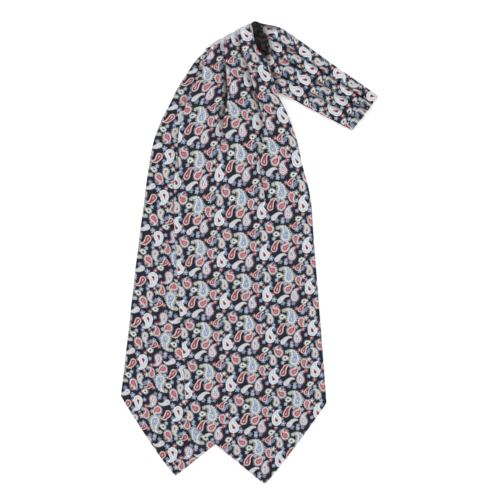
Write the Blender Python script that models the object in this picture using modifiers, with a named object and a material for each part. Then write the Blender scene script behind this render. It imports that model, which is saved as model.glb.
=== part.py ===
"""Silk day cravat, laid out flat with its neckband folded in two and both blades brought down.

One doubled strip of silk makes the whole garment. The front blade runs up from its point, is drawn
in by three knife pleats, rolls over the ridge and becomes the lower layer of the neckband. The
neckband turns back on itself at the centre back, comes home as the upper layer, dives under the
neck of the front blade, rolls over there and runs down as the back blade.

Metres. X runs to the right, Y up the garment and Z away from the table, which is Z = 0.
"""

import math
from collections import namedtuple

import bmesh
import bpy
from mathutils import Vector

# Cloth wall, the clearance between one folded layer and the next, and that between the two blades,
# which is wider because both slope where they come down from the neck
WALL = 0.0010
GAP = 0.0003
BLADE_GAP = 0.0008
PITCH = WALL + GAP
FOLD_RADIUS = PITCH / 2
PLEAT_RISE = 2 * PITCH

# Heights of the middle of each wall over the table, where the layers cross at the neck
FLOOR_LEVEL = WALL / 2
UPPER_BAND_LEVEL = FLOOR_LEVEL + 2 * PITCH
BACK_NECK_LEVEL = UPPER_BAND_LEVEL + PLEAT_RISE + PITCH
BLADE_LOFT = WALL + BLADE_GAP
FRONT_NECK_LEVEL = BACK_NECK_LEVEL + BLADE_LOFT

# Middle of the laid-out garment in the plan that the tables below are drawn on
MIDDLE = Vector((-0.0009, -0.0004, 0.0))

# How far each roll turns, in degrees, and how far the back blade's end runs on past its own
FRONT_ROLL = 126
BACK_ROLL = 180
BAND_END_ROLL = 110
TUCK_LENGTH = 0.0040

# A layer rests on what is under it and comes down to the table over a run beyond its edge
BAND_CLEAR = 0.006
BAND_RUN = 0.040
BLADE_CLEAR = 0.011
BLADE_RUN = 0.016

# A pleat shallower than this no longer overlaps: its two bends open out until the cloth is flat
OPENING_DEPTH = 0.0025
LEAST_TURN = 0.001
LEAST_STRAIGHT = 0.0003
HOLD_MARGIN = 0.0004
DROP_LENGTH = 0.0080
EDGE_ROOM = 0.0020

# Points along each part of a section
DROP_STEPS = 3
STRIP_STEPS = 6
ARC_STEPS = 3
ROLL_STEPS = 6
FLAT_COLUMNS = 18

# Points of the blades. The curve is 1 where the edges to a point are straight, more where they bow.
FRONT_POINT = (0.0164, -0.2449)
BACK_POINT = (-0.0777, -0.2359)
POINT_CURVE = 1.06

BladeRow = namedtuple(
    "BladeRow",
    "left_x left_y right_x right_y tuck fold_1 fold_2 fold_3 depth_1 depth_2 depth_3 point steps",
)

# Front blade from the roll at the neck down to its corners. Folds are measured from the left edge.
# tuck is how far the first strip starts inside the visible edge, point is the share of the point.
FRONT_ROWS = (
    BladeRow(-0.0396, 0.2159, 0.0004, 0.2375, 0, 0.006, 0.0190, 0.032, 0.005, 0.006, 0.006, 0, 2),
    BladeRow(-0.0450, 0.2046, 0.0074, 0.2184, 0.001, 0.0005, 0.0215, 0.040, 0.006, 0.006, 0.006, 0, 2),
    BladeRow(-0.0477, 0.1929, 0.0170, 0.2046, 0.001, 0, 0.025, 0.047, 0.006, 0.006, 0.006, 0, 2),
    BladeRow(-0.0572, 0.1770, 0.0244, 0.1876, 0.001, 0, 0.0355, 0.061, 0.006, 0.006, 0.006, 0, 2),
    BladeRow(-0.0647, 0.1590, 0.0297, 0.1685, 0.001, 0, 0.0435, 0.074, 0.006, 0.006, 0.006, 0, 2),
    BladeRow(-0.0710, 0.1389, 0.0398, 0.1489, 0.001, 0, 0.046, 0.086, 0.005, 0.0035, 0.006, 0, 5),
    BladeRow(-0.0753, 0.1145, 0.0498, 0.1224, 0, 0.001, 0.046, 0.091, 0.0035, 0.001, 0.004, 0, 5),
    BladeRow(-0.0784, 0.0827, 0.0567, 0.0928, 0, 0.005, 0.046, 0.091, 0.001, 0, 0.002, 0, 4),
    BladeRow(-0.0795, 0.0445, 0.0652, 0.0578, 0, 0.008, 0.048, 0.097, 0, 0, 0, 0, 3),
    BladeRow(-0.0774, 0.0011, 0.0686, 0.0148, 0, 0.010, 0.049, 0.097, 0, 0, 0, 0.05, 4),
    BladeRow(-0.0742, -0.0498, 0.0726, -0.0350, 0, 0.010, 0.049, 0.098, 0, 0, 0, 0.25, 5),
    BladeRow(-0.0700, -0.1134, 0.0774, -0.0965, 0, 0.010, 0.050, 0.098, 0, 0, 0, 0.6, 5),
    BladeRow(-0.0657, -0.1770, 0.0822, -0.1590, 0, 0.010, 0.050, 0.098, 0, 0, 0, 1.0, 0),
)

SheetRow = namedtuple("SheetRow", "left_x left_y right_x right_y point steps")

# Back blade from its roll, hidden in the neck, down to its corners
BACK_ROWS = (
    SheetRow(-0.0455, 0.2140, -0.0130, 0.2285, 0, 3),
    SheetRow(-0.0590, 0.2035, 0.0000, 0.2184, 0, 2),
    SheetRow(-0.0650, 0.1945, 0.0106, 0.2025, 0, 2),
    SheetRow(-0.0755, 0.1755, 0.0170, 0.1791, 0, 2),
    SheetRow(-0.0827, 0.1601, 0.0201, 0.1579, 0, 2),
    SheetRow(-0.0943, 0.1378, 0.0254, 0.1304, 0, 2),
    SheetRow(-0.1039, 0.1060, 0.0329, 0.0922, 0, 4),
    SheetRow(-0.1124, 0.0456, 0.0329, 0.0233, 0, 4),
    SheetRow(-0.1208, -0.0201, 0.0254, -0.0424, 0.25, 4),
    SheetRow(-0.1283, -0.0869, 0.0180, -0.1060, 0.6, 4),
    SheetRow(-0.1358, -0.1515, 0.0085, -0.1675, 1.0, 0),
)

BandRow = namedtuple(
    "BandRow", "low_x low_y high_x high_y fold_1 fold_2 fold_3 depth steps"
)

# Neckband from the neck to the centre back. Folds are measured from its lower edge.
BAND_ROWS = (
    BandRow(-0.0230, 0.1980, 0.0050, 0.2437, 0.014, 0.027, 0.039, 0.005, 2),
    BandRow(-0.0070, 0.1875, 0.0145, 0.2415, 0.017, 0.033, 0.046, 0.006, 2),
    BandRow(0.0244, 0.1728, 0.0329, 0.2385, 0.020, 0.038, 0.052, 0.006, 2),
    BandRow(0.0435, 0.1643, 0.0541, 0.2247, 0.019, 0.036, 0.049, 0.006, 2),
    BandRow(0.0689, 0.1505, 0.0880, 0.2003, 0.0165, 0.031, 0.0425, 0.006, 2),
    BandRow(0.1052, 0.1323, 0.1311, 0.1701, 0.0153, 0.028, 0.0365, 0.006, 0),
)

COLLECTION = "silk_cravat"
SILK_COLOUR = (0.115, 0.110, 0.130, 1.0)
SILK_ROUGHNESS = 0.48


def smoothstep(value):
    """Ease from 0 to 1 as the value goes from 0 to 1."""
    value = min(max(value, 0.0), 1.0)
    return value * value * (3.0 - 2.0 * value)


def between(before, start, end, after, share):
    """Value on a smooth curve between start and end, with its slope taken from the neighbours."""
    slope_in = (end - before) / 2
    slope_out = (after - start) / 2
    a = 2 * start - 2 * end + slope_in + slope_out
    b = -3 * start + 3 * end - 2 * slope_in - slope_out
    return ((a * share + b) * share + slope_in) * share + start


def fill_in(rows):
    """Rows of a table with smooth ones worked out between them, as many as its steps column says."""
    filled = []
    for index, row in enumerate(rows[:-1]):
        before = rows[max(index - 1, 0)]
        after = rows[min(index + 2, len(rows) - 1)]
        for step in range(row.steps):
            share = step / row.steps
            values = (between(*four, share) for four in zip(before, row, rows[index + 1], after))
            filled.append(type(row)(*values))
    filled.append(rows[-1])
    return filled


def distance_outside(plan, x, y):
    """Distance from a point to a closed outline, or 0 where the point is inside it."""
    inside = False
    nearest = math.inf
    for (ax, ay), (bx, by) in zip(plan, plan[1:] + plan[:1]):
        if (ay > y) != (by > y) and x < (bx - ax) * (y - ay) / (by - ay) + ax:
            inside = not inside
        along = ((x - ax) * (bx - ax) + (y - ay) * (by - ay)) / ((bx - ax) ** 2 + (by - ay) ** 2)
        along = min(max(along, 0.0), 1.0)
        nearest = min(nearest, math.hypot(x - ax - along * (bx - ax), y - ay - along * (by - ay)))
    return 0.0 if inside else nearest


def lift(plan, x, y, clear, run):
    """Share of a layer's height left at a point: 1 over the layer, down to 0 past its edge."""
    return 1.0 - smoothstep((distance_outside(plan, x, y) - clear) / run)


def outline_of(rows, tip=None):
    """Outline of a stretch: down one side of its rows and back up the other."""
    first = [(row[0], row[1]) for row in rows]
    second = [(row[2], row[3]) for row in rows]
    return first + ([tip] if tip else []) + second[::-1]


# Plan of the stack under the neck: the neckband, and the roll that stands beside its hidden end
NECK_PLAN = [(FRONT_ROWS[0].left_x, FRONT_ROWS[0].left_y)] + outline_of(BAND_ROWS)
BACK_PLAN = outline_of(BACK_ROWS, BACK_POINT)


def back_height(x, y):
    """Middle of the back blade's wall: on the table, and up over the neckband at the neck."""
    rise = BACK_NECK_LEVEL - FLOOR_LEVEL
    return FLOOR_LEVEL + rise * lift(NECK_PLAN, x, y, BAND_CLEAR, BAND_RUN)


def front_height(x, y):
    """Middle of the front blade's lowest wall: one layer over the back blade, or on the table."""
    return back_height(x, y) + BLADE_LOFT * lift(BACK_PLAN, x, y, BLADE_CLEAR, BLADE_RUN)


def strip_points(start, end, height, held, limit, folded, last=False):
    """Points of one strip between two folds, from its own edge to where it turns under the next.

    A folded strip keeps its height over the pleat that it covers and then drops to the layer below
    before it reaches the limit. The last one drops only as far as its width lets it. An open one is
    flat, with its points evenly spread.
    """
    hold_end = start + held
    room = max(limit - hold_end, 0.0)
    drop = min(DROP_LENGTH, room)
    dropped = drop / DROP_LENGTH if last else 1.0
    points = []
    for step in range(STRIP_STEPS + 1):
        even = start + (end - start) * step / STRIP_STEPS
        if step == 0:
            creased, share = start, 0.0
        elif step <= DROP_STEPS:
            share = (step - 1) / (DROP_STEPS - 1)
            creased = hold_end + drop * share
        else:
            share = 1.0
            rest = (step - DROP_STEPS) / (STRIP_STEPS - DROP_STEPS)
            creased = hold_end + drop + (end - hold_end - drop) * rest
        across = even + (creased - even) * folded
        points.append((across, height * (1.0 - share * dropped)))
    return points


def pleated_section(width, tuck, folds, depths):
    """Section across a stretch with one knife pleat at each fold.

    Each strip lies over the one before it. At a fold the cloth runs on under the next strip, turns
    back as far, and turns again as the next strip's edge. As the depth goes to 0 the pleat opens
    into flat cloth.

    Returns a list of (distance across, height over the lowest layer), the same number each time.
    """
    points = []
    start, height, held, amount = tuck, 0.0, 0.0, 0.0
    for fold, depth in zip(folds, depths):
        earlier, amount = amount, smoothstep(depth / OPENING_DEPTH)
        turn = max(math.pi * amount, LEAST_TURN)
        radius = math.pi * FOLD_RADIUS / turn
        straight = max(depth - OPENING_DEPTH, LEAST_STRAIGHT)
        reach = radius * math.sin(turn) + straight / 2 * math.cos(turn)
        middle = fold + straight / 2
        end = middle - reach
        limit = min(fold - FOLD_RADIUS - HOLD_MARGIN, end)
        points += strip_points(start, end, height, held, limit, earlier)
        angles = [turn * step / ARC_STEPS for step in range(1, ARC_STEPS + 1)]
        bend = [(radius * math.sin(angle), radius * (1 - math.cos(angle))) for angle in angles]
        start = middle + reach
        height = 2 * bend[-1][1] + straight * math.sin(turn)
        points += [(end + across, rise) for across, rise in bend]
        points += [(start - across, height - rise) for across, rise in reversed(bend)]
        held = (straight + FOLD_RADIUS + HOLD_MARGIN) * amount
    points += strip_points(start, width, height, held, width - EDGE_ROOM, amount, last=True)
    return points


def folded_section(width):
    """Section of a strip folded flat in two: along the table to its lower edge and back on top."""
    steps = FLAT_COLUMNS // 2
    points = [(width * (1 - step / steps), 0.0) for step in range(steps)]
    for step in range(ARC_STEPS + 1):
        angle = math.pi * step / ARC_STEPS
        points.append((-FOLD_RADIUS * math.sin(angle), FOLD_RADIUS * (1 - math.cos(angle))))
    points += [(width * step / steps, PITCH) for step in range(1, steps + 1)]
    return points


def plain_section(width):
    """Section across a stretch that has no pleats."""
    return [(width * step / FLAT_COLUMNS, 0.0) for step in range(FLAT_COLUMNS + 1)]


def laid_line(row, section, height_at, tip=None):
    """Points of one section laid on what is under it, with its share of the blade's point."""
    left = Vector((row[0], row[1], 0.0))
    right = Vector((row[2], row[3], 0.0))
    across = right - left
    width = across.length
    reach = Vector((0.0, 0.0, 0.0))
    if tip:
        reach = Vector((*tip, 0.0)) - (left + right) / 2
    line = []
    for distance, height in section:
        share = distance / width
        place = left + across * share
        if tip:
            place += reach * row.point * (1.0 - abs(2.0 * share - 1.0) ** POINT_CURVE)
        place.z = height_at(place.x, place.y) + height
        line.append(place)
    return line


def rolled_lines(row, section, top, bottom, turn, outwards, tuck=0.0):
    """Lines of a roll that leaves the row at the top level and turns down and under.

    A half turn comes back at the bottom level, and a tuck runs on from there. outwards is +1 or
    -1, for which side of the row the roll bulges to.
    """
    left = Vector((row[0], row[1], (top + bottom) / 2))
    across = Vector((row[2] - row[0], row[3] - row[1], 0.0))
    out = Vector((-across.y, across.x, 0.0)).normalized() * outwards
    across.normalize()
    radius = (top - bottom) / 2
    lines = []
    for step in range(1, ROLL_STEPS + 1):
        angle = math.radians(turn * step / ROLL_STEPS)
        away = out * math.sin(angle) + Vector((0.0, 0.0, math.cos(angle)))
        lines.append([left + across * x + away * (radius + height) for x, height in section])
    if tuck:
        lines.append([point - out * tuck for point in lines[-1]])
    return lines


def cloth(name, lines, collection):
    """One wall of cloth through the lines, all of which have the same number of points.

    The grid's faces keep the side that points away from the table outermost.
    """
    mesh = bpy.data.meshes.new(name)
    shape = bmesh.new()
    columns = len(lines[0])
    bmesh.ops.create_grid(shape, x_segments=columns - 1, y_segments=len(lines) - 1, size=0.5)
    shape.verts.ensure_lookup_table()
    for vertex in shape.verts:
        column = round((vertex.co.x + 0.5) * (columns - 1))
        line = round((vertex.co.y + 0.5) * (len(lines) - 1))
        vertex.co = lines[line][column] - MIDDLE
    shape.to_mesh(mesh)
    shape.free()
    mesh.shade_smooth()
    part = bpy.data.objects.new(name, mesh)
    collection.objects.link(part)
    wall = part.modifiers.new("Wall", "SOLIDIFY")
    wall.thickness = WALL
    wall.offset = 0.0
    wall.use_quality_normals = True
    part.data.materials.append(silk(name))
    return part


def silk(name):
    """Printed silk in the colour that its small pattern has from a step away."""
    material = bpy.data.materials.new(name + "_silk")
    material.use_nodes = True
    shader = material.node_tree.nodes["Principled BSDF"]
    shader.inputs["Base Color"].default_value = SILK_COLOUR
    shader.inputs["Roughness"].default_value = SILK_ROUGHNESS
    shader.inputs["Metallic"].default_value = 0.0
    return material


def width_of(row):
    """Straight distance across a row."""
    return math.hypot(row[2] - row[0], row[3] - row[1])


def front_section(row):
    """Section of the front blade at a row of its table."""
    depths = [max(depth, 0.0) for depth in (row.depth_1, row.depth_2, row.depth_3)]
    return pleated_section(
        width_of(row), max(row.tuck, 0.0), (row.fold_1, row.fold_2, row.fold_3), depths
    )


def band_section(row):
    """Section of the upper layer of the neckband at a row of its table."""
    return pleated_section(
        width_of(row), 0.0, (row.fold_1, row.fold_2, row.fold_3), [row.depth] * 3
    )


def build_front_blade(collection):
    """Front blade: point, three knife pleats that open downwards, and the roll over the ridge."""
    rows = fill_in(FRONT_ROWS)
    lines = [laid_line(row, front_section(row), front_height, FRONT_POINT) for row in rows]
    crest = rolled_lines(
        rows[0], front_section(rows[0]), FRONT_NECK_LEVEL, FLOOR_LEVEL, FRONT_ROLL, 1
    )
    return cloth("front_blade", lines[::-1] + crest, collection)


def build_back_blade(collection):
    """Back blade: flat on the table, up over the neckband and rolled back inside the neck."""
    rows = fill_in(BACK_ROWS)
    lines = [laid_line(row, plain_section(width_of(row)), back_height, BACK_POINT) for row in rows]
    roll = rolled_lines(
        rows[0],
        plain_section(width_of(rows[0])),
        BACK_NECK_LEVEL,
        UPPER_BAND_LEVEL,
        BACK_ROLL,
        1,
        TUCK_LENGTH,
    )
    return cloth("back_blade", lines[::-1] + roll, collection)


def build_upper_band(collection):
    """Upper layer of the neckband: three pleats along it, rolled down at the centre back."""
    rows = fill_in(BAND_ROWS)
    lines = [laid_line(row, band_section(row), lambda x, y: UPPER_BAND_LEVEL) for row in rows]
    end = rolled_lines(
        rows[-1], band_section(rows[-1]), UPPER_BAND_LEVEL, FLOOR_LEVEL, BAND_END_ROLL, -1
    )
    return cloth("neckband_upper", lines + end, collection)


def build_lower_band(collection):
    """Lower layer of the neckband: hidden but for its edges, flat on the table, folded in two."""
    lines = [
        laid_line(row, folded_section(width_of(row)), lambda x, y: FLOOR_LEVEL)
        for row in fill_in(BAND_ROWS)
    ]
    return cloth("neckband_lower", lines, collection)


def main():
    """Clear the scene and build each stretch of the cravat."""
    for existing in list(bpy.data.objects):
        bpy.data.objects.remove(existing)
    collection = bpy.data.collections.new(COLLECTION)
    bpy.context.scene.collection.children.link(collection)
    build_lower_band(collection)
    build_upper_band(collection)
    build_back_blade(collection)
    build_front_blade(collection)


main()
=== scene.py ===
"""Printed silk day cravat laid out flat: the looks of the part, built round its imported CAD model.

One doubled strip of silk makes the whole garment. Each stretch of it that shows is a thin sheet of
cloth that takes the place of its CAD node. Every sheet carries its own cloth coordinates: metres
across the strip and along it from the front point. The print follows them, so it turns with the
cloth and runs out of sight in the pleats.

Metres, in the CAD part's own frame: X to the right, Y up the garment and Z away from the table.
"""

import logging
import math
from dataclasses import dataclass
from enum import Enum
from typing import Callable, NamedTuple, Sequence

import bmesh
import bpy
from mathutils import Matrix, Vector, noise

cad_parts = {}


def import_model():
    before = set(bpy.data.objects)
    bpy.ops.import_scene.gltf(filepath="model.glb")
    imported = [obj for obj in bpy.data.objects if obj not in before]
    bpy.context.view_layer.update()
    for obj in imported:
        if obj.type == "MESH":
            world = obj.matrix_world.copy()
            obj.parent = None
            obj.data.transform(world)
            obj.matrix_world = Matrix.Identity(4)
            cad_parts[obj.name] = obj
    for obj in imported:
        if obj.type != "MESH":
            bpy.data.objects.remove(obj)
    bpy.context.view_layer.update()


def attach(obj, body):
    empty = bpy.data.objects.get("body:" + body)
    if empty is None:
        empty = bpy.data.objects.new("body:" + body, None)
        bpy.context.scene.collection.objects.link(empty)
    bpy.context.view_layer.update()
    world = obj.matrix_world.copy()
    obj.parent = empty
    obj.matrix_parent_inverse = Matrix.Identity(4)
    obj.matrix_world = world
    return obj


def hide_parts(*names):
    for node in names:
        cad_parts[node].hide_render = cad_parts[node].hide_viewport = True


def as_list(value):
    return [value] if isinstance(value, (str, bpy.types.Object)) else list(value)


LOG = logging.getLogger("cravat")
MATERIAL_SLOT = "printed_silk"
CLOTH_MAP = "cloth"
# Vertex attributes for painted shade and for a painted sheen highlight
PAINTED_SHADE = "recess"
PAINTED_SHEEN = "lustre"

# The CAD part's own measures: walls, levels of the layers at the neck, and the middle of its plan
CAD_WALL = 0.0010
CAD_PITCH = 0.0013
FLOOR_LEVEL = CAD_WALL / 2
UPPER_BAND_LEVEL = FLOOR_LEVEL + 2 * CAD_PITCH
BACK_NECK_LEVEL = UPPER_BAND_LEVEL + 3 * CAD_PITCH
BLADE_LOFT = 0.0018
FRONT_NECK_LEVEL = BACK_NECK_LEVEL + BLADE_LOFT
MIDDLE = Vector((-0.0009, -0.0004, 0.0))

# A layer rests on what is under it and comes down to the table over a run beyond its edge
BAND_CLEAR = 0.006
BAND_RUN = 0.040
BLADE_CLEAR = 0.011
BLADE_RUN = 0.016

# The flat cut: width of the whole strip, depth of its points and length of each stretch that shows
STRIP_WIDTH = 0.148
POINT_DEPTH = 0.077
FRONT_LENGTH = 0.480
BACK_LENGTH = 0.460
BAND_LENGTH = 0.150
BAND_LAID_WIDTH = 0.052

# Share of the upper band's oblong that is left where it is laid slanting at the neck
BAND_AREA_SHARE = 0.85

# Number of knife pleats that the strip is laid in
PLEATS = 3


class BladePoint(NamedTuple):
    """The point of a blade, and how far its left and right edges bow out (1 is straight)."""

    x: float
    y: float
    left_bow: float
    right_bow: float


FRONT_POINT = BladePoint(0.0164, -0.2449, 1.01, 1.09)
BACK_POINT = BladePoint(-0.0777, -0.2359, 1.12, 1.01)


class BladeRow(NamedTuple):
    """A line across the front blade: its ends, its folds, and each one's depth and hidden cloth.

    Tuck is how far its first strip starts inside the edge, puff how high its crowns are, point how
    much of the blade's point it has, and steps how many lines it starts.
    """

    left_x: float
    left_y: float
    right_x: float
    right_y: float
    tuck: float
    fold_1: float
    fold_2: float
    fold_3: float
    depth_1: float
    depth_2: float
    depth_3: float
    hidden_1: float
    hidden_2: float
    hidden_3: float
    puff: float
    point: float
    steps: int


class SheetRow(NamedTuple):
    """A line across the back blade, which has no pleats where it shows."""

    left_x: float
    left_y: float
    right_x: float
    right_y: float
    point: float
    steps: int


class BandRow(NamedTuple):
    """A line across the neckband from its lower edge: its ends, its folds, their depth and puff."""

    low_x: float
    low_y: float
    high_x: float
    high_y: float
    fold_1: float
    fold_2: float
    fold_3: float
    depth: float
    puff: float
    steps: int


FRONT_ROWS = (
    BladeRow(-0.0396, 0.2159, 0.0032, 0.2390, 0, 0.006, 0.0190, 0.032,
             0.005, 0.006, 0.006, 0.032, 0.033, 0.035, 0.0008, 0, 6),
    BladeRow(-0.0450, 0.2046, 0.0074, 0.2184, 0.001, 0.0005, 0.0215, 0.040,
             0.006, 0.006, 0.006, 0.027, 0.030, 0.033, 0.0012, 0, 6),
    BladeRow(-0.0477, 0.1929, 0.0170, 0.2046, 0.001, 0, 0.025, 0.047,
             0.006, 0.006, 0.006, 0.023, 0.029, 0.032, 0.0016, 0, 7),
    BladeRow(-0.0572, 0.1770, 0.0244, 0.1876, 0.001, 0, 0.0355, 0.061,
             0.006, 0.006, 0.006, 0.0117, 0.0245, 0.0276, 0.0022, 0, 8),
    BladeRow(-0.0647, 0.1590, 0.0297, 0.1685, 0.001, 0, 0.0435, 0.074,
             0.006, 0.006, 0.006, 0.009, 0.018, 0.024, 0.0024, 0, 8),
    BladeRow(-0.0710, 0.1389, 0.0398, 0.1489, 0.001, 0, 0.046, 0.086,
             0.005, 0.0035, 0.006, 0.0055, 0.009, 0.019, 0.0018, 0, 9),
    BladeRow(-0.0753, 0.1145, 0.0498, 0.1224, 0, 0.001, 0.046, 0.091,
             0.0035, 0.001, 0.004, 0.003, 0.004, 0.013, 0.0012, 0, 10),
    BladeRow(-0.0784, 0.0827, 0.0567, 0.0928, 0, 0.005, 0.046, 0.091,
             0.001, 0, 0.002, 0, 0.001, 0.007, 0.0006, 0, 10),
    BladeRow(-0.0795, 0.0445, 0.0652, 0.0578, 0, 0.008, 0.048, 0.097,
             0, 0, 0, 0, 0, 0.002, 0.0003, 0, 12),
    BladeRow(-0.0774, 0.0011, 0.0686, 0.0148, 0, 0.010, 0.049, 0.097,
             0, 0, 0, 0, 0, 0, 0, 0.05, 14),
    BladeRow(-0.0742, -0.0498, 0.0726, -0.0350, 0, 0.010, 0.049, 0.098,
             0, 0, 0, 0, 0, 0, 0, 0.25, 18),
    BladeRow(-0.0700, -0.1134, 0.0774, -0.0965, 0, 0.010, 0.050, 0.098,
             0, 0, 0, 0, 0, 0, 0, 0.6, 20),
    BladeRow(-0.0657, -0.1770, 0.0822, -0.1590, 0, 0.010, 0.050, 0.098,
             0, 0, 0, 0, 0, 0, 0, 1.0, 0),
)

BACK_ROWS = (
    SheetRow(-0.0455, 0.2140, -0.0130, 0.2285, 0, 6),
    SheetRow(-0.0564, 0.2035, 0.0000, 0.2184, 0, 5),
    SheetRow(-0.0630, 0.1940, 0.0106, 0.2025, 0, 6),
    SheetRow(-0.0755, 0.1755, 0.0170, 0.1791, 0, 6),
    SheetRow(-0.0827, 0.1601, 0.0201, 0.1579, 0, 7),
    SheetRow(-0.0943, 0.1378, 0.0254, 0.1304, 0, 9),
    SheetRow(-0.1039, 0.1060, 0.0329, 0.0922, 0, 16),
    SheetRow(-0.1124, 0.0456, 0.0329, 0.0233, 0, 18),
    SheetRow(-0.1208, -0.0201, 0.0254, -0.0424, 0.25, 18),
    SheetRow(-0.1283, -0.0869, 0.0180, -0.1060, 0.6, 18),
    SheetRow(-0.1358, -0.1515, 0.0085, -0.1675, 1.0, 0),
)

BAND_ROWS = (
    BandRow(-0.0230, 0.1980, 0.0028, 0.2438, 0.014, 0.027, 0.039, 0.005, 0.0002, 4),
    BandRow(-0.0160, 0.1935, 0.0068, 0.2454, 0.0152, 0.0294, 0.042, 0.0054, 0.0003, 6),
    BandRow(-0.0070, 0.1875, 0.0145, 0.2428, 0.017, 0.033, 0.046, 0.006, 0.0005, 10),
    BandRow(0.0244, 0.1728, 0.0329, 0.2385, 0.020, 0.038, 0.052, 0.006, 0.0008, 9),
    BandRow(0.0435, 0.1643, 0.0541, 0.2247, 0.019, 0.036, 0.049, 0.006, 0.0008, 10),
    BandRow(0.0689, 0.1505, 0.0880, 0.2003, 0.0165, 0.031, 0.0425, 0.006, 0.0006, 12),
    BandRow(0.1080, 0.1307, 0.1356, 0.1672, 0.0151, 0.0277, 0.0363, 0.006, 0.0004, 0),
)


class ClothPoint(NamedTuple):
    """A place on a sheet: where it is on the flat strip, its painted shade and its painted
    highlight.
    """

    place: Vector
    across: float
    along: float
    recess: float
    lustre: float = 0.0


class SectionPoint(NamedTuple):
    """A point across a stretch: its distance, height over the lowest layer, cloth and painted
    shade.
    """

    distance: float
    height: float
    cloth: float
    recess: float


def smoothstep(value: float) -> float:
    """Ease from 0 to 1 as the value goes from 0 to 1."""
    value = min(max(value, 0.0), 1.0)
    return value * value * (3.0 - 2.0 * value)


def between(before: float, start: float, end: float, after: float, share: float) -> float:
    """Value on a smooth curve from start to end, with its slopes taken from the neighbours.

    Args:
        before: Value at the row before start.
        start: Value at share 0.
        end: Value at share 1.
        after: Value at the row after end.
        share: Place between start and end, from 0 to 1.

    Returns:
        The value at that share.
    """
    slope_in = (end - before) / 2
    slope_out = (after - start) / 2
    cubic = 2 * start - 2 * end + slope_in + slope_out
    square = -3 * start + 3 * end - 2 * slope_in - slope_out
    return ((cubic * share + square) * share + slope_in) * share + start


def fill_in(rows: Sequence[NamedTuple]) -> list[NamedTuple]:
    """Rows of a table with smooth ones worked out between them.

    Args:
        rows: The table, each row saying in steps how many lines it starts.

    Returns:
        All lines, in the table's order.
    """
    filled = []
    for index, row in enumerate(rows[:-1]):
        before = rows[max(index - 1, 0)]
        after = rows[min(index + 2, len(rows) - 1)]
        for step in range(row.steps):
            share = step / row.steps
            values = (between(*four, share) for four in zip(before, row, rows[index + 1], after))
            filled.append(type(row)(*values))
    filled.append(rows[-1])
    return filled


def distance_outside(plan: Sequence[tuple[float, float]], x: float, y: float) -> float:
    """Distance from a point to a closed outline, or 0 where the point is inside it.

    Args:
        plan: Corners of the outline.
        x: The point's X.
        y: The point's Y.

    Returns:
        The distance in metres.
    """
    inside = False
    nearest = math.inf
    for (ax, ay), (bx, by) in zip(plan, plan[1:] + plan[:1]):
        if (ay > y) != (by > y) and x < (bx - ax) * (y - ay) / (by - ay) + ax:
            inside = not inside
        run_x, run_y = bx - ax, by - ay
        share = ((x - ax) * run_x + (y - ay) * run_y) / (run_x**2 + run_y**2)
        share = min(max(share, 0.0), 1.0)
        nearest = min(nearest, math.hypot(x - ax - share * run_x, y - ay - share * run_y))
    return 0.0 if inside else nearest


def outline_of(
    rows: Sequence[NamedTuple], tip: BladePoint | None = None
) -> list[tuple[float, float]]:
    """Outline of a stretch: down one side of its rows, round its tip and back up the other.

    Args:
        rows: Rows that start with the two ends of a line.
        tip: Point of the blade, if it has one.

    Returns:
        The corners in order.
    """
    first = [(row[0], row[1]) for row in rows]
    second = [(row[2], row[3]) for row in rows]
    return first + ([(tip.x, tip.y)] if tip else []) + second[::-1]


NECK_PLAN = [(FRONT_ROWS[0].left_x, FRONT_ROWS[0].left_y)] + outline_of(BAND_ROWS)
BACK_PLAN = outline_of(BACK_ROWS, BACK_POINT)


def back_height(x: float, y: float) -> float:
    """Height of the back blade: on the table, and up over the neckband at the neck."""
    lift = 1.0 - smoothstep((distance_outside(NECK_PLAN, x, y) - BAND_CLEAR) / BAND_RUN)
    return FLOOR_LEVEL + (BACK_NECK_LEVEL - FLOOR_LEVEL) * lift


def front_height(x: float, y: float) -> float:
    """Height of the front blade's lowest layer: over the back blade, or down on the table."""
    lift = 1.0 - smoothstep((distance_outside(BACK_PLAN, x, y) - BLADE_CLEAR) / BLADE_RUN)
    return back_height(x, y) + BLADE_LOFT * lift


@dataclass(frozen=True)
class Swell:
    """Gentle unevenness of silk that was laid by hand.

    Depth is how high it is on average, size how far apart its crests are, and seed picks one of
    many patterns.
    """

    depth: float
    size: float
    seed: float

    def at(self, x: float, y: float) -> float:
        """Height that it adds at a place, the same each time."""
        return self.depth * (1 + noise.noise(Vector((x / self.size, y / self.size, self.seed))))


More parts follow.
